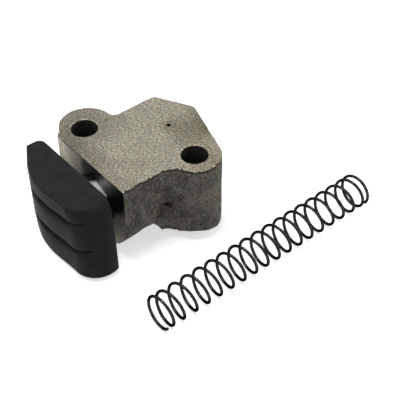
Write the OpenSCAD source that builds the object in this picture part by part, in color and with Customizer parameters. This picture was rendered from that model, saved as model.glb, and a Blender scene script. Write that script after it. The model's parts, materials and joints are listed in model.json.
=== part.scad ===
// Timing chain tensioner: a cast iron housing that bolts to an engine block, a ground steel
// plunger that slides in its bore, a black rubber slipper moulded on the plunger's head, and
// the plunger's coil spring, which is taken out and lies beside the housing.
// +X is the way the plunger comes out, +Z is the normal of the machined mounting face, and the
// origin is midway between the two bolt holes on that face.

/* [Bolting] */
// Distance of each bolt hole from the middle of the pair, along the plunger
bolt_x = 9.65; // [9:0.05:10.5]
// Distance of each bolt hole from the middle of the pair, across the plunger
bolt_y = 16.82; // [16.2:0.02:17.6]
// Diameter of the bolt holes
bolt_hole_d = 9; // [8:0.1:10]
// Chamfer at both ends of the bolt holes
bolt_chamfer = 0.4; // [0.2:0.05:0.8]

/* [Housing] */
// Depth of the plunger's axis below the mounting face
axis_depth = 14.75; // [14:0.05:16]
// Offset of the plunger's axis across the housing
axis_y = 0.7; // [0:0.1:1.4]
// Half width of the barrel, and radius of its round underside
barrel_r = 16; // [15:0.05:17]
// Distance of the front face from the origin
front_x = 18.75; // [18.2:0.05:20]
// Distance of the front face's far left end from the origin
front_left = 17.6; // [17:0.1:18.4]
// Distance of the blunt rear point from the origin
rear_x = 25.2; // [24:0.1:26]
// Offset of the rear point across the housing
rear_y = -2; // [-3:0.1:0]
// Distance of the rear left corner from the origin
rear_corner_x = 18.2; // [17.4:0.1:19]
// Radius of the rear point and of the rear left corner
corner_r = 2; // [1:0.1:2.6]
// Height of the two bolt bosses
boss_h = 27.3; // [24:0.1:28]
// Radius of the boss at the front left
left_boss_r = 9.2; // [8.8:0.05:9.8]
// Shift of the front left boss from its hole, along the plunger
left_boss_dx = -1.3; // [-1.6:0.1:0]
// Shift of the front left boss from its hole, across the plunger
left_boss_dy = -0.7; // [-1.2:0.1:0]
// Radius of the boss at the rear right
right_boss_r = 8.9; // [8.6:0.05:9.6]
// Cast rounding of the lower edge of the bosses
boss_round = 1.4; // [1:0.1:3.2]
// How far the webs beside the bosses stop above the lower end of the bosses
web_rise = 1.3; // [0.4:0.1:2]
// Cast fillet between the front left boss and the barrel
left_fillet = 3; // [2:0.1:4]
// Cast fillet between the rear right boss and the barrel
right_fillet = 6.5; // [3:0.1:8]
// How far the fillets and webs run into the walls that they join
blend_lap = 0.1; // [0.05:0.05:0.3]
// Diameter of the oil feed hole in the mounting face
oil_hole_d = 1.4; // [1:0.1:2]
// Distance of the oil hole behind the origin
oil_x = 12.4; // [12:0.1:14]
// Offset of the oil hole across the housing
oil_y = 0.2; // [-1:0.1:1]
// Depth of the plunger's bore
bore_depth = 35; // [34:0.5:38]
// Chamfer at the mouth of the plunger's bore
mouth_chamfer = 0.35; // [0.2:0.05:0.8]

/* [Plunger] */
// Diameter of the plunger
plunger_d = 18.5; // [17.5:0.1:19]
// Radial running clearance of the plunger in its bore
plunger_clear = 0.03; // [0.02:0.01:0.06]
// Length of the plunger behind the slipper
plunger_len = 30; // [28:0.5:31]
// Chamfer at the plunger's inner end
plunger_chamfer = 0.6; // [0.3:0.1:1]
// Depth of the spring pocket in the plunger
pocket_depth = 26; // [22:0.5:27]
// Radial clearance of the spring in its pocket
pocket_clear = 0.4; // [0.2:0.05:0.8]
// Diameter of the stub that the slipper is moulded on
stub_d = 11; // [9:0.5:13]
// Length of that stub
stub_len = 6; // [4:0.5:7]
// Gap left between the stub and the rubber around it
bond_gap = 0.02; // [0.01:0.01:0.05]

/* [Slipper] */
// Space between the front face and the slipper's back, as the plunger stands
slipper_gap = 4.75; // [4:0.05:6]
// Height of the slipper
slipper_h = 29; // [27:0.1:30]
// Thickness of the slipper at its crown
crown_t = 13.4; // [12.5:0.1:14]
// Distance of the crown from the plunger's axis, towards the tongue
crown_back = 2.5; // [1:0.1:4]
// Length of the slipper from the plunger's axis to the tongue's tip
tongue_len = 22.6; // [21:0.1:24]
// Thickness of the tongue at its tip, at the slipper's upper edge
tongue_t = 5.4; // [4.5:0.1:6.5]
// Gain in thickness of the tongue's tip below the upper edge
tongue_swell = 1.1; // [0:0.1:2]
// Depth at which the tongue has gained that thickness
swell_depth = 8; // [4:0.5:14]
// Distance from the plunger's axis at which the face starts to ramp down to the tongue
ramp_from = 9.4; // [6:0.1:12]
// Length over which the face bends into that ramp
ramp_round = 5; // [1:0.1:8]
// Loss of thickness at the crown, from the slipper's upper edge to its lower edge
face_lean = 0.9; // [0:0.1:1.5]
// Radius of the tongue's tip
tongue_r = 2.4; // [1.5:0.1:2.6]
// Length of the slipper from the plunger's axis to its heel
heel_len = 15.5; // [14.5:0.1:17]
// Extra length of the heel at the slipper's lower edge
heel_flare = 2.7; // [0:0.1:4]
// Length over which the face rounds off at the heel
heel_round = 8; // [6:0.1:9]
// Height of the heel's fullest point above the slipper's back
heel_back_t = 3.5; // [3:0.1:5]
// Length over which the back rounds off at the heel
heel_back_round = 1; // [0.5:0.1:2.5]
// Fall of the face from the crown to the start of the heel
heel_fall = 0.8; // [0:0.1:1.5]
// Rounding of the slipper's upper and lower edges
edge_round = 0.4; // [0.2:0.1:1.2]
// Distance of the upper groove's middle below the top of the slipper
upper_groove = 7.8; // [6:0.1:9]
// Distance of the lower groove's middle below the top of the slipper
lower_groove = 19.3; // [17:0.1:21]
// Width of a groove at the face
groove_w = 3.4; // [2.4:0.1:4.5]
// Width of a groove at its floor
groove_floor_w = 1.2; // [0.6:0.1:2]
// Depth of a groove
groove_d = 1.9; // [1:0.1:2.5]
// Share of the heel's round over which the grooves run out
groove_run = 0.7; // [0.3:0.05:0.9]

/* [Spring] */
// Outer diameter of the spring
spring_d = 12; // [10.5:0.1:12.6]
// Diameter of the spring's wire
wire_d = 1.05; // [0.8:0.05:1.4]
// Free length of the spring
spring_len = 87.5; // [75:0.5:95]
// Number of coils, end coils included
coils = 19; // [15:0.5:22]
// Number of coils at each end over which the pitch closes up
end_coils = 1.75; // [0.75:0.25:2.5]
// Gap between the wire's end and the coil beside it
closed_gap = 0.05; // [0.02:0.01:0.2]
// Distance of the spring's middle behind the origin, where it lies
spring_back = 15.3; // [10:0.1:20]
// Distance of the spring from the origin, across the housing
spring_side = 44.7; // [40:0.1:50]
// Angle at which the spring lies to the plunger's axis
spring_yaw = 0.9; // [-10:0.1:10]
// Angle about its own axis at which the spring's wire starts
spring_start = 135; // [0:5:355]

/* [Hidden] */
$fn = 64;
cut = 1;
corner_steps = 8;
face_steps = 16;
coil_steps = 16;
wire_sides = 6;

iron = [0.60, 0.575, 0.53];
steel = [0.74, 0.74, 0.75];
rubber = [0.10, 0.10, 0.11];
black_wire = [0.07, 0.07, 0.08];

axis_z = -axis_depth;
floor_z = -axis_depth - barrel_r;
bore_r = plunger_d / 2 + plunger_clear;
side_left = axis_y - barrel_r;
side_right = axis_y + barrel_r;
left_hole = [bolt_x, -bolt_y];
right_hole = [-bolt_x, bolt_y];
left_boss = left_hole + [left_boss_dx, left_boss_dy];
slipper_x = front_x + slipper_gap;
plunger_end = slipper_x - plunger_len;
slipper_top = axis_z + slipper_h / 2;
pocket_r = spring_d / 2 + pocket_clear;
closed_pitch = wire_d + closed_gap;
wire_run = spring_len - wire_d;
open_pitch = (wire_run - end_coils * closed_pitch) / (coils - end_coils);

// Points on an arc, an ellipse quarter or any stretch of them
function arc(centre, rx, ry, from, to, steps) =
    [for (i = [0 : steps]) let (a = from + (to - from) * i / steps) centre + [rx * cos(a), ry * sin(a)]];

// The point where a line from a point outside touches a circle, on its left side as seen from there
function tangent(point, centre, r) =
    let (d = norm(centre - point), away = atan2(point[1] - centre[1], point[0] - centre[0]))
    centre + r * [cos(away - acos(r / d)), sin(away - acos(r / d))];

// A corner rounded to a radius, between the points before and after it
function rounded(before, corner, after, r, steps) =
    let (
        a = (before - corner) / norm(before - corner),
        b = (after - corner) / norm(after - corner),
        half = acos(a * b) / 2,
        centre = corner + (a + b) / norm(a + b) * r / sin(half),
        from = atan2((corner + a * r / tan(half) - centre)[1], (corner + a * r / tan(half) - centre)[0]),
        to = atan2((corner + b * r / tan(half) - centre)[1], (corner + b * r / tan(half) - centre)[0]),
        turn = (to - from + 540) % 360 - 180
    )
    arc(centre, r, r, from, from + turn, steps);

// Corners of the barrel's rear end, and where its right edge runs on to touch the right boss
rear = [-rear_x, rear_y];
rear_left = [-rear_corner_x, side_left];
boss_touch = tangent(rear, right_hole, right_boss_r - blend_lap);
rear_right = rear + (boss_touch - rear) * (side_right - rear_y) / (boss_touch[1] - rear_y);

// A corner filled between a boss and one side of the barrel, up to a fillet that runs into both
module boss_fillet(boss, boss_r, side, outward, along, r) {
    y = side + outward * (r - blend_lap);
    centre = [boss[0] + along * sqrt((boss_r + r - blend_lap) ^ 2 - (y - boss[1]) ^ 2), y];
    inner = axis_y + outward * barrel_r / 2;
    difference() {
        polygon([boss, [boss[0], inner], [centre[0], inner], centre]);
        translate(centre) circle(r);
    }
}

// Outline of the barrel seen from the mounting face, with its blunt rear point
module barrel_plan() {
    polygon(concat(
        [[front_x, side_right], rear_right],
        rounded(rear_right, rear, rear_left, corner_r, corner_steps),
        rounded(rear, rear_left, [0, side_left], corner_r, corner_steps),
        [[front_x, side_left]]
    ));
}

// Outline of the webs that join the bosses to the barrel
module web_plan() {
    front_corner = [front_x, -front_left];
    front_touch = tangent(front_corner, left_boss, left_boss_r - blend_lap);
    left_inner = axis_y - barrel_r / 2;
    right_inner = axis_y + barrel_r / 2;
    boss_fillet(left_boss, left_boss_r, side_left, -1, -1, left_fillet);
    boss_fillet(right_hole, right_boss_r, side_right, 1, 1, right_fillet);
    polygon([left_boss, front_touch, front_corner, [front_x, left_inner], [left_boss[0], left_inner]]);
    polygon([right_hole, boss_touch, rear_right, [right_hole[0] - right_boss_r / 2, right_inner],
        [right_hole[0], right_inner]]);
}

// Cross section of the barrel: flat sides and a round underside about the plunger's axis
module barrel_section() {
    circle(barrel_r);
    translate([-barrel_r, 0]) square([2 * barrel_r, axis_depth]);
}

// A round boss below the mounting face, with its lower edge rounded as cast
module boss(r) {
    rotate_extrude() {
        square([r - boss_round, boss_h]);
        translate([0, boss_round]) square([r, boss_h - boss_round]);
        translate([r - boss_round, boss_round]) circle(boss_round);
    }
}

// A drilled bolt hole with a chamfer at both ends
module bolt_hole() {
    r = bolt_hole_d / 2;
    rim = r + bolt_chamfer;
    translate([0, 0, -boss_h - cut]) cylinder(h = boss_h + 2 * cut, r = r);
    translate([0, 0, -bolt_chamfer]) cylinder(h = bolt_chamfer, r1 = r, r2 = rim);
    translate([0, 0, -boss_h]) cylinder(h = bolt_chamfer, r1 = rim, r2 = r);
    translate([0, 0, -boss_h - barrel_r]) cylinder(h = barrel_r, r = rim);
}

// Solid casting before any hole is made
module casting() {
    web_h = boss_h - web_rise;
    intersection() {
        translate([0, 0, floor_z]) linear_extrude(-floor_z) barrel_plan();
        translate([-rear_x - cut, axis_y, axis_z]) rotate([90, 0, 90])
            linear_extrude(rear_x + front_x + 2 * cut) barrel_section();
    }
    translate([0, 0, -web_h]) linear_extrude(web_h) web_plan();
    translate([left_boss[0], left_boss[1], -boss_h]) boss(left_boss_r);
    translate([right_hole[0], right_hole[1], -boss_h]) boss(right_boss_r);
}

module housing() {
    color(iron) difference() {
        casting();
        for (hole = [left_hole, right_hole]) translate(hole) bolt_hole();
        translate([front_x - bore_depth, axis_y, axis_z]) rotate([0, 90, 0])
            cylinder(h = bore_depth + cut, r = bore_r);
        translate([front_x - mouth_chamfer, axis_y, axis_z]) rotate([0, 90, 0])
            cylinder(h = mouth_chamfer, r1 = bore_r, r2 = bore_r + mouth_chamfer);
        translate([-oil_x, oil_y, axis_z]) cylinder(h = axis_depth + cut, d = oil_hole_d);
    }
}

module plunger() {
    r = plunger_d / 2;
    color(steel) translate([plunger_end, axis_y, axis_z]) rotate([0, 90, 0]) difference() {
        union() {
            cylinder(h = plunger_chamfer, r1 = r - plunger_chamfer, r2 = r);
            translate([0, 0, plunger_chamfer]) cylinder(h = plunger_len - plunger_chamfer, r = r);
            translate([0, 0, plunger_len]) cylinder(h = stub_len, d = stub_d);
        }
        translate([0, 0, -cut]) cylinder(h = pocket_depth + cut, r = pocket_r);
    }
}

// A level line that bends into an even ramp, at a distance from the plunger's axis
function ramp(y) = y - ramp_from + sqrt((y - ramp_from) ^ 2 + ramp_round ^ 2);

// Share of the way down from the slipper's crown to its tongue, at a distance from the plunger's axis
function ramp_share(y) = (ramp(y) - ramp(crown_back)) / (ramp(tongue_len) - ramp(crown_back));

// Outline of the slipper at one depth below its top, drawn in by an edge rounding and, on the
// chain's face, by a groove. It runs from the heel along the back to the tongue and returns
// along the face.
function slipper_ring(depth, inset, groove) =
    let (
        heel = heel_len + heel_flare * depth / slipper_h - inset,
        heel_from = heel - heel_round,
        lean = face_lean * depth / slipper_h,
        swell = tongue_swell * min(1, depth / swell_depth),
        crown = crown_t - lean - inset,
        drop = crown_t - lean - tongue_t - swell,
        heel_t = crown - heel_fall,
        tip = -tongue_len + inset,
        reach = -crown_back - tip
    )
    concat(
        arc([heel_back_t, heel - heel_back_round], heel_back_t, heel_back_round, 90, 180, corner_steps),
        arc([tongue_r, tip + tongue_r], tongue_r, tongue_r, 180, 270, corner_steps),
        [for (i = [0 : face_steps])
            let (y = crown_back + reach * (1 - i / face_steps), fall = drop * ramp_share(y))
            [crown - fall - max(0, groove - fall), -y]],
        [for (i = [1 : corner_steps]) let (s = i / corner_steps)
            [crown - heel_fall * s ^ 2 - groove, -crown_back + (heel_from + crown_back) * s]],
        [for (i = [1 : face_steps]) let (s = i / face_steps, sunk = groove * max(0, 1 - s / groove_run))
            [heel_back_t + (heel_t - heel_back_t - sunk) * cos(90 * s),
                heel_from + (heel_round - sunk) * sin(90 * s)]]
    );

// Depths below the slipper's top at which its outline changes, each with inset and groove depth
slipper_levels = concat(
    [for (a = [90, 45, 0]) [edge_round * (1 - sin(a)), edge_round * (1 - cos(a)), 0]],
    [for (middle = [upper_groove, lower_groove]) each [
        [middle - groove_w / 2, 0, 0],
        [middle - groove_floor_w / 2, 0, groove_d],
        [middle + groove_floor_w / 2, 0, groove_d],
        [middle + groove_w / 2, 0, 0]
    ]],
    [for (a = [0, 45, 90]) [slipper_h - edge_round * (1 - sin(a)), edge_round * (1 - cos(a)), 0]]
);

// A closed solid through a stack of rings that all have the same number of points, from the
// end at which their points run clockwise as seen from outside
module stack(rings) {
    size = len(rings[0]);
    last = (len(rings) - 1) * size;
    polyhedron(
        [for (ring = rings) each ring],
        concat(
            [[for (i = [0 : size - 1]) i]],
            [for (k = [0 : len(rings) - 2], i = [0 : size - 1]) let (j = (i + 1) % size)
                each [
                    [k * size + i, (k + 1) * size + i, (k + 1) * size + j],
                    [k * size + i, (k + 1) * size + j, k * size + j]
                ]],
            [[for (i = [size - 1 : -1 : 0]) last + i]]
        )
    );
}

module slipper() {
    color(rubber) difference() {
        translate([slipper_x, axis_y, slipper_top])
            stack([for (k = [len(slipper_levels) - 1 : -1 : 0]) let (level = slipper_levels[k])
                [for (p = slipper_ring(level[0], level[1], level[2])) [p[0], p[1], -level[0]]]]);
        translate([slipper_x - cut, axis_y, axis_z]) rotate([0, 90, 0])
            cylinder(h = stub_len + bond_gap + cut, r = stub_d / 2 + bond_gap);
    }
}

// How far the wire has risen over the first coils, where the pitch grows from closed to open
function end_rise(turn) = closed_pitch * turn + (open_pitch - closed_pitch) * turn ^ 2 / (2 * end_coils);

// How far along the spring the wire has come after a number of turns
function coil_rise(turn) =
    turn < end_coils ? end_rise(turn) :
    turn > coils - end_coils ? wire_run - end_rise(coils - turn) :
    end_rise(end_coils) + (turn - end_coils) * open_pitch;

module spring() {
    wire_r = wire_d / 2;
    coil_r = spring_d / 2 - wire_r;
    count = floor(coils * coil_steps);
    color(black_wire) translate([-spring_back, spring_side, floor_z + spring_d / 2])
        rotate([0, -90, -spring_yaw]) translate([0, 0, -spring_len / 2])
            stack([for (i = [0 : count]) let (turn = coils * i / count, around = spring_start + 360 * turn)
                [for (k = [0 : wire_sides - 1])
                    let (a = 360 * k / wire_sides, reach = coil_r + wire_r * cos(a))
                    [reach * cos(around), reach * sin(around), coil_rise(turn) + wire_r * (1 - sin(a))]]]);
}

housing();
plunger();
slipper();
spring();
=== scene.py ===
import json
import math

import bmesh
import bpy
import numpy as np
from mathutils import Matrix, Vector, noise


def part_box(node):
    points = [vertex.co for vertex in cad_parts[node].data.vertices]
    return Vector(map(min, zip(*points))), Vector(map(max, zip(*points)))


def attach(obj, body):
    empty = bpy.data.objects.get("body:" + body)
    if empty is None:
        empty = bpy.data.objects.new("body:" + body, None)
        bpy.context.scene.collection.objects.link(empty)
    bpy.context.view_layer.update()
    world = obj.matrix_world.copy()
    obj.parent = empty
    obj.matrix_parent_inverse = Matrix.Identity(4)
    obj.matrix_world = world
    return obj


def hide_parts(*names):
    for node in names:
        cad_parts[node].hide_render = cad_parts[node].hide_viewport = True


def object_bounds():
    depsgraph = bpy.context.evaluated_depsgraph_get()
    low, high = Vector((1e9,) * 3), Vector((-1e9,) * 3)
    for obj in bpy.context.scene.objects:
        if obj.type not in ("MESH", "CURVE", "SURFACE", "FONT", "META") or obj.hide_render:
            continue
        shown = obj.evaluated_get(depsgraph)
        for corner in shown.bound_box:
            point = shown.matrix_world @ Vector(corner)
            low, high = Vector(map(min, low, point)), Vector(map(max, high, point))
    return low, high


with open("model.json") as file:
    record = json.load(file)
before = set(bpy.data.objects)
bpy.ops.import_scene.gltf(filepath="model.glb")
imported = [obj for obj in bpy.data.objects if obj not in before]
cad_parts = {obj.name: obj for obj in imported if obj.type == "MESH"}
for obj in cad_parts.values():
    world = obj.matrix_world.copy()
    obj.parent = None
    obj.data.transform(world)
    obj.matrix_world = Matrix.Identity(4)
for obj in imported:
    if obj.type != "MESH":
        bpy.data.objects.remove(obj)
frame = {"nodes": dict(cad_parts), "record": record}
cad_low, cad_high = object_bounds()

# Housing. The real one is a grey iron casting with a sandy skin. Its mounting face and its front
# face are milled flat, and the bolt holes, the oil hole and the plunger's bore are drilled. Here
# the casting is made first, a little too large, and is then milled and drilled the same way.
mm = 0.001
housing_low, housing_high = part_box("housing")
plunger_low, plunger_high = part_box("plunger")
mounts = {mount["name"]: mount for mount in frame["record"]["mounts"]}
bolt_holes = [mounts["front_bolt_hole"], mounts["rear_bolt_hole"]]
bolt_hole_r = bolt_holes[0]["dims"]["r_mm"] * mm
bolt_chamfer = 0.4 * mm
boss_h = bolt_holes[0]["dims"]["length_mm"] * mm + 2 * bolt_chamfer
front_x = housing_high.x
plunger_r = (plunger_high.y - plunger_low.y) / 2
axis = (plunger_low + plunger_high) / 2
bore_r = plunger_r + 0.03 * mm
bore_depth = 35 * mm
mouth_chamfer = 0.35 * mm
oil_hole = Vector((-12.4, 0.2, 0)) * mm
oil_hole_r = 0.7 * mm
milling_stock = 2 * mm
drilling_stock = 0.85
sand_size = 0.35 * mm
weld = 0.0005 * mm
touch = 0.05 * mm
margin = 5 * mm
foot_r, foot_h = 8.9 * mm, 6 * mm
ragged_h, ragged_size, ragged_d = 1.2 * mm, 0.8 * mm, 0.1 * mm
chips_from, chips_fade, chip_size, chip_d = 10 * mm, 3 * mm, 0.6 * mm, 2.2 * mm
pit_d = 1.5 * mm
# In millimetres: corners, sizes and heights of swells, the pit, and place, reach and drop of edge swells
fillet_corners = [(4.4, 16.6, -15.5), (4.4, 16.5, -24.9), (4.4, 11, -25.5), (9.8, 15.4, -19.6)]
skin_swells = [(7, 0.14), (2.4, 0.08), (0.95, 0.07)]
pit_at, pit_reach = (2.2, 16.9, -15.1), (1.1, 1.3, 0.6)
edge_swells = [(8, 15.5, 3, -1.2), (0.1, 18.2, 2, 1.4), (-4, 23.8, 3.2, -1), (-14, 24.6, 3.5, 1.1)]
edge_swells_from, edge_swells_fade = -20, 6


def tone(red, green, blue):
    """A colour given as it looks on a screen, from 0 to 255, in the form that shaders take."""
    parts = [value / 255 for value in (red, green, blue)]
    return [part / 12.92 if part <= 0.04045 else ((part + 0.055) / 1.055) ** 2.4 for part in parts] + [1]


def finish(name, **fixed):
    """A new material with fixed values on its shader, and the tree and the shader to build on."""
    material = bpy.data.materials.new(name)
    material.use_nodes = True
    shader = material.node_tree.nodes["Principled BSDF"]
    for socket, value in fixed.items():
        shader.inputs[socket.replace("_", " ")].default_value = value
    return material, material.node_tree, shader


def grain(tree, size, stretch=(1, 1, 1), detail=3, rough=0.55):
    """Noise with grains of one size, drawn out along the axes by stretch."""
    coordinates = tree.nodes.new("ShaderNodeTexCoord")
    mapping = tree.nodes.new("ShaderNodeMapping")
    mapping.inputs["Scale"].default_value = [1 / (size * factor) for factor in stretch]
    texture = tree.nodes.new("ShaderNodeTexNoise")
    texture.inputs["Scale"].default_value = 1
    texture.inputs["Detail"].default_value = detail
    texture.inputs["Roughness"].default_value = rough
    tree.links.new(coordinates.outputs["Object"], mapping.inputs["Vector"])
    tree.links.new(mapping.outputs["Vector"], texture.inputs["Vector"])
    return texture.outputs["Fac"]


def shades(tree, factor, stops):
    """Colours, or plain numbers, spread over a factor as pairs of place and colour."""
    ramp = tree.nodes.new("ShaderNodeValToRGB")
    places = ramp.color_ramp.elements
    while len(places) < len(stops):
        places.new(0.5)
    for place, (position, colour) in zip(places, stops):
        place.position = position
        place.color = colour if isinstance(colour, list) else [colour, colour, colour, 1]
    tree.links.new(factor, ramp.inputs["Fac"])
    return ramp.outputs["Color"]


def mixed(tree, mode, factor, under, over):
    """Two colours mixed. The factor is a number or comes from another node."""
    mix = tree.nodes.new("ShaderNodeMix")
    mix.data_type = "RGBA"
    mix.blend_type = mode
    if isinstance(factor, (int, float)):
        mix.inputs[0].default_value = factor
    else:
        tree.links.new(factor, mix.inputs[0])
    for socket, colour in ((mix.inputs[6], under), (mix.inputs[7], over)):
        if isinstance(colour, list):
            socket.default_value = colour
        else:
            tree.links.new(colour, socket)
    return mix.outputs[2]


def relief(tree, shader, *layers):
    """Raises a shader's surface by layers of height and depth, one on the other."""
    below = None
    for height, depth in layers:
        bump = tree.nodes.new("ShaderNodeBump")
        bump.inputs["Strength"].default_value = 1
        bump.inputs["Distance"].default_value = depth
        tree.links.new(height, bump.inputs["Height"])
        if below:
            tree.links.new(below, bump.inputs["Normal"])
        below = bump.outputs["Normal"]
    tree.links.new(below, shader.inputs["Normal"])


def spot(tree, centre, radius, blur):
    """A round spot about a point, for a stain or for painted light, 1 in its middle and 0 outside, with a
    frayed and blurred edge.
    """
    coordinates = tree.nodes.new("ShaderNodeTexCoord")
    distance = tree.nodes.new("ShaderNodeVectorMath")
    distance.operation = "DISTANCE"
    distance.inputs[1].default_value = centre
    frayed = tree.nodes.new("ShaderNodeMath")
    frayed.operation = "MULTIPLY_ADD"
    frayed.inputs[1].default_value = blur
    spread = tree.nodes.new("ShaderNodeMapRange")
    spread.inputs["From Min"].default_value = radius + blur
    spread.inputs["From Max"].default_value = radius
    tree.links.new(coordinates.outputs["Object"], distance.inputs[0])
    tree.links.new(grain(tree, radius, detail=2), frayed.inputs[0])
    tree.links.new(distance.outputs["Value"], frayed.inputs[2])
    tree.links.new(frayed.outputs["Value"], spread.inputs["Value"])
    return spread.outputs["Result"]


def shadow_under_edge(tree, depth):
    """Mask for a painted shadow: 1 along the edge of the mounting face and 0 from a depth below it on."""
    coordinates = tree.nodes.new("ShaderNodeTexCoord")
    parts = tree.nodes.new("ShaderNodeSeparateXYZ")
    spread = tree.nodes.new("ShaderNodeMapRange")
    spread.inputs["From Min"].default_value = -depth
    spread.inputs["From Max"].default_value = -depth / 4
    tree.links.new(coordinates.outputs["Object"], parts.inputs["Vector"])
    tree.links.new(parts.outputs["Z"], spread.inputs["Value"])
    return spread.outputs["Result"]


def with_stains_and_painted_light(tree, colour, stains_and_painted_light):
    """A colour with stains and painted light: for each its blend, its centre, radius and blur in mm, and its
    tone.
    """
    for blend, centre, radius, blur, stain_and_light_tone in stains_and_painted_light:
        colour = mixed(tree, blend, spot(tree, Vector(centre) * mm, radius * mm, blur * mm), colour, stain_and_light_tone)
    return colour


def sand_cast_skin(stains_and_painted_light):
    """Dark grey-brown iron, mottled and rough from the sand of the mould, with a painted shadow under the
    edge of the mounting face, and the stains and painted light it is given.
    """
    material, tree, shader = finish("cast_iron_skin", Specular_IOR_Level=0.25)
    sand = grain(tree, 0.5 * mm, detail=5, rough=0.7)
    patches = grain(tree, 3 * mm, detail=4, rough=0.65)
    colour = shades(tree, sand, [
        (0.36, tone(78, 77, 71)), (0.5, tone(126, 124, 115)), (0.64, tone(184, 180, 168))])
    tint = shades(tree, grain(tree, 0.9 * mm, detail=2), [
        (0.36, tone(240, 248, 248)), (0.64, tone(255, 243, 234))])
    worn = shades(tree, patches, [(0.36, 0.42), (0.62, 1.0)])
    for layer in (tint, worn):
        colour = mixed(tree, "MULTIPLY", 1, colour, layer)
    # Painted shadow on the cast sides just under the ragged edge of the mounting face
    colour = mixed(tree, "MULTIPLY", shadow_under_edge(tree, 1.1 * mm), colour, tone(96, 94, 92))
    tree.links.new(with_stains_and_painted_light(tree, colour, stains_and_painted_light), shader.inputs["Base Color"])
    tree.links.new(shades(tree, sand, [(0.3, 0.9), (0.7, 0.68)]), shader.inputs["Roughness"])
    relief(tree, shader, (grain(tree, 1.4 * mm, detail=3), 0.16 * mm), (sand, 0.1 * mm))
    return material


def milled_iron(name, metallic, dullest, brightest, stains_and_painted_light):
    """Beige-grey milled iron with fine speckle, faint cutter marks along the plunger, and the stains and
    painted light it is given.
    """
    material, tree, shader = finish(name, Metallic=metallic, Specular_IOR_Level=0.3)
    speckle = grain(tree, 0.42 * mm, stretch=(2.2, 1, 1), detail=5, rough=0.75)
    marks = grain(tree, 0.32 * mm, stretch=(9, 1, 1), detail=3)
    patches = grain(tree, 6 * mm, detail=3)
    colour = shades(tree, speckle, [
        (0.36, tone(70, 67, 60)), (0.46, tone(140, 137, 124)),
        (0.54, tone(169, 166, 152)), (0.64, tone(222, 218, 204))])
    tint = shades(tree, grain(tree, 0.9 * mm, detail=2), [
        (0.36, tone(238, 246, 244)), (0.64, tone(255, 241, 229))])
    shade = shades(tree, patches, [(0.34, 0.86), (0.6, 1.0)])
    streaks = shades(tree, marks, [(0.36, 0.78), (0.6, 1.0)])
    for layer in (tint, shade, streaks):
        colour = mixed(tree, "MULTIPLY", 1, colour, layer)
    tree.links.new(with_stains_and_painted_light(tree, colour, stains_and_painted_light), shader.inputs["Base Color"])
    tree.links.new(shades(tree, speckle, [(0.3, dullest), (0.7, brightest)]), shader.inputs["Roughness"])
    relief(tree, shader, (speckle, 0.05 * mm), (marks, 0.015 * mm))
    return material


def drilled_iron():
    """Iron inside the holes, painted dark for the shade in them."""
    material, tree, shader = finish("drilled_iron", Specular_IOR_Level=0.15)
    mottle = grain(tree, 2 * mm, detail=3)
    colour = shades(tree, mottle, [(0.35, tone(36, 36, 34)), (0.65, tone(54, 53, 49))])
    tree.links.new(colour, shader.inputs["Base Color"])
    tree.links.new(shades(tree, mottle, [(0.35, 0.75), (0.65, 0.6)]), shader.inputs["Roughness"])
    relief(tree, shader, (mottle, 0.01 * mm))
    return material


def new_piece(name, points, faces, *finishes):
    """A mesh object from points and faces, with all its faces turned outward."""
    mesh = bpy.data.meshes.new(name)
    mesh.from_pydata(points, [], faces)
    shell = bmesh.new()
    shell.from_mesh(mesh)
    bmesh.ops.recalc_face_normals(shell, faces=shell.faces)
    shell.to_mesh(mesh)
    shell.free()
    for material in finishes:
        mesh.materials.append(material)
    piece = bpy.data.objects.new(name, mesh)
    bpy.context.scene.collection.objects.link(piece)
    return piece


def ring_faces(count, size):
    """Faces between rings of one size, for a count of points in all, and a face over each end."""
    faces = []
    for ring in range(0, count - size, size):
        for place in range(size):
            beyond = (place + 1) % size
            faces.append([ring + place, ring + beyond, ring + size + beyond, ring + size + place])
    return faces + [list(range(size)), list(range(count - size, count))]


def turned(name, outline, start, direction, material, sides=96):
    """A turned solid: pairs of distance along its axis and radius, spun about that axis."""
    along = Vector(direction)
    across = along.orthogonal().normalized()
    beside = along.cross(across)
    points = []
    for distance, radius in outline:
        for side in range(sides):
            angle = 2 * math.pi * side / sides
            outward = across * math.cos(angle) + beside * math.sin(angle)
            points.append(start + along * distance + outward * radius)
    return new_piece(name, points, ring_faces(len(points), sides), material)


def settle(piece):
    """Turns a piece's modifiers into its own mesh."""
    rough = piece.data
    piece.data = bpy.data.meshes.new_from_object(piece.evaluated_get(bpy.context.evaluated_depsgraph_get()))
    piece.modifiers.clear()
    bpy.data.meshes.remove(rough)


def smoothed(piece, sharp_from):
    """Shades a piece smooth, apart from edges that bend by more than an angle in degrees."""
    piece.data.shade_smooth()
    piece.data.set_sharp_from_angle(angle=math.radians(sharp_from))


def cut_away(piece, cutter):
    """Takes a cutter's space out of a piece, which gets the cutter's finish there."""
    milling = piece.modifiers.new("cut", "BOOLEAN")
    milling.operation = "DIFFERENCE"
    milling.solver = "MANIFOLD"
    milling.material_mode = "TRANSFER"
    milling.object = cutter
    settle(piece)
    bpy.data.objects.remove(cutter)


def slab(low, high, material):
    """A block between two corners."""
    corners = [(x, y, z) for x in (low[0], high[0]) for y in (low[1], high[1]) for z in (low[2], high[2])]
    faces = [(0, 1, 3, 2), (4, 5, 7, 6), (0, 1, 5, 4), (2, 3, 7, 6), (0, 2, 6, 4), (1, 3, 7, 5)]
    return new_piece("slab", corners, faces, material)


def waves(points, size):
    """Smooth noise at each point, from about -1 to 1, with swells of one size."""
    return np.array([noise.noise(Vector(point) / size) for point in points])


def drawn_in(points, centre, axes, reach):
    """Narrows a hole, so that there is metal left to drill away."""
    offset = points[:, axes] - centre
    near = np.linalg.norm(offset, axis=1) < reach
    points[np.ix_(near, axes)] = centre + offset[near] * drilling_stock


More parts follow.
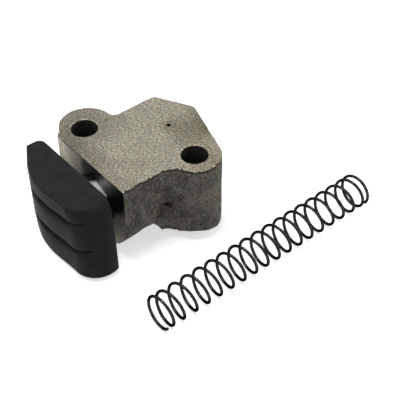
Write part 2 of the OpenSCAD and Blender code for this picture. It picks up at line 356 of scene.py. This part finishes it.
top_stains = [
    ("MULTIPLY", (11, -19, 0), 9, 14, tone(184, 182, 182)),  # grime over the front boss
    ("MULTIPLY", (18, -13, 0), 4, 5, tone(215, 213, 211)),  # along the front edge
    ("MULTIPLY", (20, -4, 0), 7, 7, tone(206, 203, 202)),
    ("MULTIPLY", (17, 9, 0), 6, 12, tone(234, 231, 230)),
    ("MULTIPLY", (-17, 7, 0), 8, 6, tone(212, 210, 204)),  # across the rear
    ("MULTIPLY", (-23, 9, 0), 4, 8, tone(196, 191, 178)),
    ("MULTIPLY", (-25, 0, 0), 2, 6, tone(206, 202, 194)),
    ("MULTIPLY", (-11, 24, 0), 5, 10, tone(216, 211, 200)),  # round the rear boss
    ("MULTIPLY", (-12.5, 0.5, 0), 2.5, 3, tone(225, 222, 215)),  # oil about the oil hole
    ("MULTIPLY", (-12.4, 0.2, 0), 0.8, 0.3, tone(80, 77, 70)),
    ("MULTIPLY", (1.8, -15.4, 0), 0.4, 0.5, tone(140, 136, 130)),  # small marks
    ("MULTIPLY", (-16.1, -0.2, 0), 0.3, 0.4, tone(140, 136, 130)),
    ("MIX", (18.75, 13.2, -0.3), 0.5, 0.5, tone(104, 50, 26)),  # rust on the front edge
    ("MIX", (18.7, 16.5, 0), 0.35, 0.3, tone(245, 243, 236)),  # bright burrs on two corners
    ("MIX", (-10.5, 25.5, 0), 0.4, 0.3, tone(245, 243, 236)),
]
front_stains_and_painted_light = [
    ("ADD", (18.75, -12, -3), 6, 2.5, tone(122, 113, 102)),  # painted light on the front face by the front boss
    ("MIX", (18.75, 6, -2.5), 11.7, 2.5, tone(21, 19, 16)),  # painted shadow and reflection of the slipper above the plunger
    # painted reflection of the slipper's heel, darker on the face right of the plunger
    ("MULTIPLY", (18.75, 15.5, -5), 4, 5, tone(120, 116, 112)),
    ("MIX", (18.75, 8.3, -2.5), 1.5, 1.6, tone(58, 46, 34)),  # painted reflection of the plunger's highlight, brownish, within that painted shade
    ("MIX", (18.75, 13.2, -0.3), 0.6, 0.5, tone(104, 50, 26)),  # rust on the top edge
]
# A row of darker spots just under the top edge, from the front boss to the plunger
for across in range(-16, -6):
    front_stains_and_painted_light.append(("MULTIPLY", (18.75, across, -0.2), 0.5, 0.3, tone(60, 58, 54)))
cast_stains_and_painted_light = [
    ("MULTIPLY", (2.4, 16.9, -8.4), 1.3, 2.4, tone(120, 118, 116)),  # darker in the hollow by the rear boss
    ("MULTIPLY", (2.2, 16.9, -14.3), 3, 6, tone(165, 161, 157)),
    ("MULTIPLY", (4.2, 16.6, -17.4), 3, 4, tone(196, 194, 190)),
    ("MULTIPLY", (1.9, 16.4, -15.1), 1, 0.5, tone(36, 34, 32)),  # painted shade in the pit, and a darker mark beside it
    ("MULTIPLY", (1.2, 17.4, -15.9), 0.7, 0.5, tone(80, 77, 73)),
    ("MULTIPLY", (-3, 21, -20), 5, 10, tone(215, 213, 211)),  # low on the rear boss
    ("MULTIPLY", (11.7, 16.7, -3), 5, 5, tone(222, 220, 218)),  # the barrel's side
    ("MULTIPLY", (16.2, 16.2, -18.6), 3, 4, tone(205, 202, 198)),
    ("ADD", (-9.5, 25.7, -14), 5, 8, tone(66, 64, 58)),  # painted light on the outer side of the rear boss
]
skin = sand_cast_skin(cast_stains_and_painted_light)
milled = milled_iron("milled_top", 0.25, 0.72, 0.5, top_stains)
milled_front = milled_iron("milled_front", 0.85, 0.56, 0.42, front_stains_and_painted_light)
drilled = drilled_iron()

casting = bmesh.new()
casting.from_mesh(frame["nodes"]["housing"].data)
bmesh.ops.remove_doubles(casting, verts=casting.verts, dist=weld)
points = np.array([vert.co for vert in casting.verts])
points[points[:, 2] > -touch, 2] += milling_stock
points[points[:, 0] > front_x - touch, 0] += milling_stock
for hole in bolt_holes:
    drawn_in(points, np.array(hole["pos_m"][:2]), [0, 1], bolt_hole_r + bolt_chamfer + touch)
drawn_in(points, np.array(oil_hole[:2]), [0, 1], oil_hole_r + touch)
drawn_in(points, np.array(axis[1:]), [1, 2], bore_r + mouth_chamfer + touch)
for vert, point in zip(casting.verts, points):
    vert.co = point
# The fillet between the barrel and the web, and the foot of the rear boss, melt into the casting
fillet = [casting.verts.new(Vector(corner) * mm) for corner in fillet_corners]
for corners in ((0, 1, 2), (0, 3, 1), (1, 3, 2), (0, 2, 3)):
    casting.faces.new([fillet[corner] for corner in corners])
rear_hole = Vector(bolt_holes[1]["pos_m"])
foot_at = Matrix.Translation((rear_hole.x, rear_hole.y, foot_h / 2 - boss_h))
bmesh.ops.create_cone(
    casting, cap_ends=True, segments=96, radius1=foot_r, radius2=foot_r, depth=foot_h, matrix=foot_at)
rough = bpy.data.meshes.new("housing_casting")
casting.to_mesh(rough)
casting.free()
rough.materials.append(skin)
housing = bpy.data.objects.new("housing_casting", rough)
bpy.context.scene.collection.objects.link(housing)
sand = housing.modifiers.new("sand", "REMESH")
sand.mode = "VOXEL"
sand.voxel_size = sand_size
blend = housing.modifiers.new("blend", "SMOOTH")
blend.factor = 0.5
blend.iterations = 3
settle(housing)

# Swells of the sand mould, a ragged top edge, chipped on the rear boss's side, and one pit
points = np.array([vert.co for vert in housing.data.vertices])
normals = np.array([vert.normal for vert in housing.data.vertices])
rise = sum(waves(points, size * mm) * height * mm for size, height in skin_swells)
near_top = np.clip(1 + points[:, 2] / ragged_h, 0, 1)
rise += waves(points, ragged_size) * near_top * ragged_d
chipped_side = np.clip((points[:, 1] - chips_from) / chips_fade, 0, 1)
not_rear = np.clip((normals[:, 0] + 0.5) * 3, 0, 1)
rise -= np.clip(waves(points, chip_size), 0, 1) * near_top * chipped_side * not_rear * chip_d
pit_offset = (points - np.array(pit_at) * mm) / (np.array(pit_reach) * mm)
rise -= pit_d * np.exp(-np.sum(pit_offset ** 2, axis=1))
points += normals * rise[:, None]
# The uneven lower edge of the web and the rear boss, from 20 mm below the mounting face on
for x, y, reach, drop in edge_swells:
    near = np.exp(-((points[:, 0] / mm - x) ** 2 + (points[:, 1] / mm - y) ** 2) / reach ** 2)
    low_down = np.clip((edge_swells_from - points[:, 2] / mm) / edge_swells_fade, 0, 1)
    points[:, 2] -= near * low_down * drop * mm
low, high = housing_low - Vector((margin,) * 3), housing_high + Vector((margin,) * 3)
points = np.clip(points, housing_low, [high.x, housing_high.y, high.z])
housing.data.vertices.foreach_set("co", points.ravel())

# Milling and drilling
cut_away(housing, slab((low.x, low.y, 0), high, milled))
cut_away(housing, slab((front_x, low.y, low.z), high, milled_front))
rim_r = bolt_hole_r + bolt_chamfer
for hole in bolt_holes:
    start = Vector((hole["pos_m"][0], hole["pos_m"][1], 0))
    cut_away(housing, turned("drill", [
        (-margin, bolt_hole_r), (boss_h - bolt_chamfer, bolt_hole_r),
        (boss_h, rim_r), (boss_h + margin, rim_r)], start, (0, 0, -1), drilled))
    cut_away(housing, turned("countersink", [
        (-margin, rim_r), (0, rim_r), (bolt_chamfer, bolt_hole_r)], start, (0, 0, -1), milled_front))
bore_start = Vector((front_x, axis.y, axis.z))
cut_away(housing, turned("drill", [
    (-margin, bore_r), (bore_depth, bore_r)], bore_start, (-1, 0, 0), drilled))
cut_away(housing, turned("countersink", [
    (-margin, bore_r + mouth_chamfer), (0, bore_r + mouth_chamfer), (mouth_chamfer, bore_r)],
    bore_start, (-1, 0, 0), milled_front))
cut_away(housing, turned("drill", [
    (-margin, oil_hole_r), (-axis.z, oil_hole_r)], oil_hole, (0, 0, -1), drilled, sides=32))
smoothed(housing, sharp_from=42)
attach(housing, "housing")
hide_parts("housing")

# Plunger. The real one is a steel cylinder, turned and then ground bright to slide in the bore. It
# is hollow from its inner end for the spring, and a stub on its head holds the moulded slipper.
plunger_len = 30 * mm
plunger_chamfer = 0.6 * mm
pocket_depth = 26 * mm
pocket_r = 6.4 * mm
stub_r = 5.5 * mm
stub_len = plunger_high.x - plunger_low.x - plunger_len
# Each spot of painted shade, where the plunger shows between the housing and the slipper: its centre from
# the plunger's middle, and its radius, in millimetres
painted_shade_spots = [((4, -6, 8), 7.8), ((7.5, 9.8, 2.8), 5)]
painted_shade_blur = 1.2 * mm


def ground_steel():
    """Bright steel with fine marks round it from the grinding wheel, and two dark spots of painted shade."""
    material, tree, shader = finish("ground_steel", Metallic=0.5)
    marks = grain(tree, 0.06 * mm, stretch=(1, 40, 40), detail=3)
    colour = shades(tree, marks, [(0.3, tone(214, 214, 212)), (0.7, tone(250, 250, 248))])
    for centre, radius in painted_shade_spots:
        shade_spot = spot(tree, axis + Vector(centre) * mm, radius * mm, painted_shade_blur)
        colour = mixed(tree, "MULTIPLY", shade_spot, colour, tone(44, 42, 39))
    tree.links.new(colour, shader.inputs["Base Color"])
    tree.links.new(shades(tree, marks, [(0.3, 0.12), (0.7, 0.06)]), shader.inputs["Roughness"])
    relief(tree, shader, (marks, 0.001 * mm))
    return material


plunger = turned("plunger_cylinder", [
    (pocket_depth, pocket_r), (0, pocket_r), (0, plunger_r - plunger_chamfer), (plunger_chamfer, plunger_r),
    (plunger_len, plunger_r), (plunger_len, stub_r), (plunger_len + stub_len, stub_r)],
    Vector((plunger_low.x, axis.y, axis.z)), (1, 0, 0), ground_steel(), sides=160)
smoothed(plunger, sharp_from=30)
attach(plunger, "plunger")
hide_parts("plunger")

# Slipper. The real one is a block of hard black rubber, moulded on the plunger's stub. The chain
# runs along its face from the tongue to the heel, over three ribs with two grooves between them.
# Its sizes are in millimetres: out from its back, across from the plunger's axis, and down from its top.
slipper_low, slipper_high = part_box("slipper")
slipper_h = (slipper_high.z - slipper_low.z) / mm
crown_t, crown_back = 13.4, 2.5
tongue_len, tongue_t, tongue_r = 22.6, 5.4, 2.4
tongue_swell, swell_depth = 1.1, 8.0
ramp_from, ramp_round, face_lean = 9.4, 5.0, 0.9
heel_len, heel_flare, heel_round, heel_fall = 15.5, 2.7, 8.0, 0.8
heel_back_t, heel_back_round = 3.5, 1.0
heel_bevel, bevel_depth, flare_power = 1.5, 5.0, 0.35
edge_round = 0.4
grooves = [(6.1, 0.57, 1.8), (17.6, 0.67, 1.6)]
groove_w, groove_floor_w, groove_d, tail_w = 3.4, 1.2, 1.9, 0.5
early_taper, taper_power, tail_power = 0.2, 1.5, 0.55
shoulder_fall, shoulder_reach = 0.35, 1.3
crease_at, crease_w, crease_d, crease_len = 0.19, 0.02, 0.16, 4.5
level_step = 0.22
back_steps, tip_steps, face_steps, heel_steps, round_steps = 10, 14, 56, 24, 80
bond_gap = 0.02 * mm


def black_rubber():
    """Matt black rubber with the fine dull skin of its mould."""
    material, tree, shader = finish("black_rubber", Specular_IOR_Level=0.08)
    skin = grain(tree, 0.25 * mm, detail=3)
    bloom = grain(tree, 6 * mm, detail=4)
    colour = shades(tree, bloom, [(0.3, tone(27, 27, 27)), (0.7, tone(36, 36, 36))])
    tree.links.new(colour, shader.inputs["Base Color"])
    tree.links.new(shades(tree, skin, [(0.3, 0.7), (0.7, 0.55)]), shader.inputs["Roughness"])
    relief(tree, shader, (skin, 0.012 * mm), (bloom, 0.05 * mm))
    return material


def ramp(across):
    """A level line that bends into an even ramp, at a distance from the plunger's axis."""
    past = across - ramp_from
    return past + math.hypot(past, ramp_round)


def arc(centre, rx, ry, first, last, steps):
    """Points on an arc of a circle or an ellipse, in degrees."""
    angles = [math.radians(first + (last - first) * step / steps) for step in range(steps + 1)]
    return [(centre[0] + rx * math.cos(angle), centre[1] + ry * math.sin(angle)) for angle in angles]


def groove_depth(depth, before=0, share=0):
    """Depth of the grooves and of the shoulders beside them, at a depth below the top. On the heel,
    before is the share of the way to its round, and share is the share of that round."""
    deepest = 0
    for upper_lip, tail_share, tail_rise in grooves:
        run = early_taper * before ** taper_power + (1 - early_taper) * min(1, share / tail_share)
        width = groove_w + (tail_w - groove_w) * run
        floor = groove_floor_w * width / groove_w
        from_middle = abs(depth - upper_lip + tail_rise * run - width / 2)
        slope = min(1, max(0, (width / 2 - from_middle) / ((width - floor) / 2)))
        shoulder = shoulder_fall * math.exp(-max(0, from_middle - width / 2) / shoulder_reach)
        depth_here = shoulder + (groove_d - shoulder_fall) * slope * slope * (3 - 2 * slope)
        deepest = max(deepest, depth_here * (1 - run) ** tail_power)
    return deepest


def slipper_ring(depth, inset):
    """Outline at one depth below the top: heel, back, tongue, and the face on the way back."""
    groove = groove_depth(depth)
    flared = heel_len + heel_flare * (depth / slipper_h) ** flare_power - inset
    heel_from = flared - heel_round
    heel = flared - heel_bevel * max(0, 1 - depth / bevel_depth) ** 2
    lean = face_lean * depth / slipper_h
    crown = crown_t - lean - inset
    drop = crown_t - lean - tongue_t - tongue_swell * min(1, depth / swell_depth)
    heel_t = crown - heel_fall
    tip = -tongue_len + inset
    ring = arc((heel_back_t, heel - heel_back_round), heel_back_t, heel_back_round, 90, 180, back_steps)
    ring += arc((tongue_r, tip + tongue_r), tongue_r, tongue_r, 180, 270, tip_steps)
    for step in range(face_steps + 1):
        across = crown_back + (-crown_back - tip) * (1 - step / face_steps)
        fall = drop * (ramp(across) - ramp(crown_back)) / (ramp(tongue_len) - ramp(crown_back))
        ring.append((crown - max(fall, groove), -across))
    for step in range(1, heel_steps + 1):
        share = step / heel_steps
        fall = heel_fall * share ** 2 * (3 - 2 * share) + groove_depth(depth, share)
        ring.append((crown - fall, -crown_back + (heel_from + crown_back) * share))
    for step in range(1, round_steps + 1):
        share = step / round_steps
        crease = crease_d * math.exp(-((share - crease_at) / crease_w) ** 2) * max(0, 1 - depth / crease_len)
        sunk = groove_depth(depth, 1, share) + crease
        turn = math.pi / 2 * share
        ring.append((heel_back_t + (heel_t - heel_back_t - sunk) * math.cos(turn),
                     heel_from + (heel - heel_from - sunk) * math.sin(turn)))
    return ring


edge_steps = [edge_round * (1 - math.cos(math.radians(angle))) for angle in (0, 20, 40, 60, 75, 90)]
inner_steps = int((slipper_h - 2 * edge_round) / level_step)
inner = [edge_round + (slipper_h - 2 * edge_round) * step / inner_steps for step in range(1, inner_steps)]
levels = edge_steps + inner + [slipper_h - step for step in reversed(edge_steps)]
corner = Vector((slipper_low.x, axis.y, slipper_high.z))
points = []
for depth in levels:
    from_edge = max(0, 1 - min(depth, slipper_h - depth) / edge_round)
    inset = edge_round * (1 - math.sqrt(1 - from_edge ** 2))
    ring = slipper_ring(depth, inset)
    points += [corner + Vector((out, across, -depth)) * mm for out, across in ring]
rubber = black_rubber()
slipper = new_piece("slipper_block", points, ring_faces(len(points), len(ring)), rubber)
cut_away(slipper, turned("stub_hole", [
    (-margin, stub_r + bond_gap), (stub_len + bond_gap, stub_r + bond_gap)],
    Vector((slipper_low.x, axis.y, axis.z)), (1, 0, 0), rubber, sides=64))
smoothed(slipper, sharp_from=50)
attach(slipper, "plunger")
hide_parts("slipper")

# Spring. The real one is wound from black spring wire, with closed coils at both ends. It belongs
# in the plunger's pocket and lies beside the housing, taken out. Its sizes are in millimetres.
spring_low, spring_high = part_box("spring")
spring_d, wire_d, spring_len = 12.0, 1.05, 87.5
coils, end_coils, closed_gap = 19, 1.75, 0.05
spring_start, spring_yaw = 122, 0.9
box_slack = 0.01
closed_pitch = wire_d + closed_gap
wire_run = spring_len - wire_d
open_pitch = (wire_run - end_coils * closed_pitch) / (coils - end_coils)
coil_steps, wire_sides = 48, 14


def black_wire():
    """Oiled black spring steel, a little scuffed."""
    material, tree, shader = finish("black_wire", Metallic=1.0, Specular_Tint=tone(120, 120, 120))
    scuffs = grain(tree, 0.8 * mm, detail=4)
    colour = shades(tree, scuffs, [(0.4, tone(38, 38, 39)), (0.75, tone(66, 66, 66))])
    tree.links.new(colour, shader.inputs["Base Color"])
    tree.links.new(shades(tree, scuffs, [(0.3, 0.22), (0.7, 0.34)]), shader.inputs["Roughness"])
    relief(tree, shader, (scuffs, 0.01 * mm))
    return material


def end_rise(turn):
    """How far the wire rises over the end coils, where the pitch opens."""
    return closed_pitch * turn + (open_pitch - closed_pitch) * turn ** 2 / (2 * end_coils)


def coil_rise(turn):
    """How far along the spring the wire is after a number of turns."""
    if turn < end_coils:
        return end_rise(turn)
    if turn > coils - end_coils:
        return wire_run - end_rise(coils - turn)
    return end_rise(end_coils) + (turn - end_coils) * open_pitch


wire_r = wire_d / 2
coil_r = spring_d / 2 - wire_r - box_slack
middle = (spring_low + spring_high) / 2
yaw = math.radians(-spring_yaw)
points = []
for step in range(coils * coil_steps + 1):
    turn = step / coil_steps
    around = math.radians(spring_start + 360 * turn)
    for side in range(wire_sides):
        angle = 2 * math.pi * side / wire_sides
        reach = coil_r + wire_r * math.cos(angle)
        along = spring_len / 2 - coil_rise(turn) - wire_r * (1 - math.sin(angle))
        across, up = reach * math.sin(around), reach * math.cos(around)
        place = Vector((along * math.cos(yaw) - across * math.sin(yaw),
                        along * math.sin(yaw) + across * math.cos(yaw), up))
        points.append(place * mm + middle)
spring = new_piece("coil_spring", points, ring_faces(len(points), wire_sides), black_wire())
smoothed(spring, sharp_from=50)
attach(spring, "housing")
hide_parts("spring")

# Stage. A white floor under the part, a soft lamp above it and three weak ones round it, and
# a camera at the height and angle from which the part was pictured.
floor_half = 3.0
floor_z = cad_low.z
floor_lift = 0.6
sky_light, sky_shown = 0.28, 1
aim = Vector((2.76, 34.08, 0)) * mm
camera_azimuth, camera_elevation, camera_distance = 139.7, 44.0, 278.8 * mm
camera_lens, camera_sensor = 82.8, 36
lamps = [
    ("key", (0.08, -0.08, 0.66), 0.36, 3.4),
    ("side", (0.30, -0.50, 0.22), 0.3, 0.5),
    ("fill", (0.32, 0.55, 0.25), 0.3, 0.35),
    ("back", (-0.50, 0.25, 0.30), 0.3, 0.7),
]


def shown_rays(tree):
    """1 for the rays that show the background, straight, in metal or through glass, and 0 for others."""
    path = tree.nodes.new("ShaderNodeLightPath")
    shown = path.outputs["Is Camera Ray"]
    for ray in ("Is Glossy Ray", "Is Transmission Ray"):
        either = tree.nodes.new("ShaderNodeMath")
        either.operation = "MAXIMUM"
        tree.links.new(shown, either.inputs[0])
        tree.links.new(path.outputs[ray], either.inputs[1])
        shown = either.outputs[0]
    return shown


def white_floor():
    """White to the eye with soft shadows, and darker to the light that it throws back."""
    material = bpy.data.materials.new("white_floor")
    material.use_nodes = True
    tree = material.node_tree
    tree.nodes.clear()
    white = tree.nodes.new("ShaderNodeBsdfDiffuse")
    white.inputs["Color"].default_value = tone(232, 232, 232)
    lift = tree.nodes.new("ShaderNodeEmission")
    lift.inputs["Strength"].default_value = floor_lift
    shown = tree.nodes.new("ShaderNodeAddShader")
    grey = tree.nodes.new("ShaderNodeBsdfDiffuse")
    grey.inputs["Color"].default_value = tone(150, 150, 150)
    choice = tree.nodes.new("ShaderNodeMixShader")
    output = tree.nodes.new("ShaderNodeOutputMaterial")
    for source, target in (
            (white.outputs[0], shown.inputs[0]), (lift.outputs[0], shown.inputs[1]),
            (shown_rays(tree), choice.inputs[0]), (grey.outputs[0], choice.inputs[1]),
            (shown.outputs[0], choice.inputs[2]), (choice.outputs[0], output.inputs["Surface"])):
        tree.links.new(source, target)
    return material


floor = new_piece("floor", [
    (-floor_half, -floor_half, floor_z), (floor_half, -floor_half, floor_z),
    (floor_half, floor_half, floor_z), (-floor_half, floor_half, floor_z)], [(0, 1, 2, 3)], white_floor())

world = bpy.data.worlds.new("studio")
bpy.context.scene.world = world
world.use_nodes = True
tree = world.node_tree
tree.nodes.clear()
strength = tree.nodes.new("ShaderNodeMapRange")
strength.inputs["To Min"].default_value = sky_light
strength.inputs["To Max"].default_value = sky_shown
sky = tree.nodes.new("ShaderNodeBackground")
output = tree.nodes.new("ShaderNodeOutputWorld")
for source, target in (
        (shown_rays(tree), strength.inputs["Value"]), (strength.outputs["Result"], sky.inputs["Strength"]),
        (sky.outputs[0], output.inputs["Surface"])):
    tree.links.new(source, target)
sky.inputs["Color"].default_value = (1, 1, 1, 1)

for name, place, size, power in lamps:
    light = bpy.data.lights.new(name, "AREA")
    light.shape = "DISK"
    light.size = size
    light.energy = power
    lamp = bpy.data.objects.new(name, light)
    lamp.location = place
    lamp.rotation_euler = (-Vector(place)).to_track_quat("-Z", "Y").to_euler()
    bpy.context.scene.collection.objects.link(lamp)

turn, tilt = math.radians(camera_azimuth), math.radians(camera_elevation)
back = Vector((math.sin(turn) * math.cos(tilt), -math.cos(turn) * math.cos(tilt), math.sin(tilt)))
lens = bpy.data.cameras.new("camera")
lens.lens = camera_lens
lens.sensor_width = camera_sensor
lens.clip_start = 10 * mm
camera = bpy.data.objects.new("camera", lens)
camera.location = aim + back * camera_distance
camera.rotation_euler = (-back).to_track_quat("-Z", "Y").to_euler()
bpy.context.scene.collection.objects.link(camera)
bpy.context.scene.camera = camera
bpy.context.scene.view_settings.view_transform = "Standard"
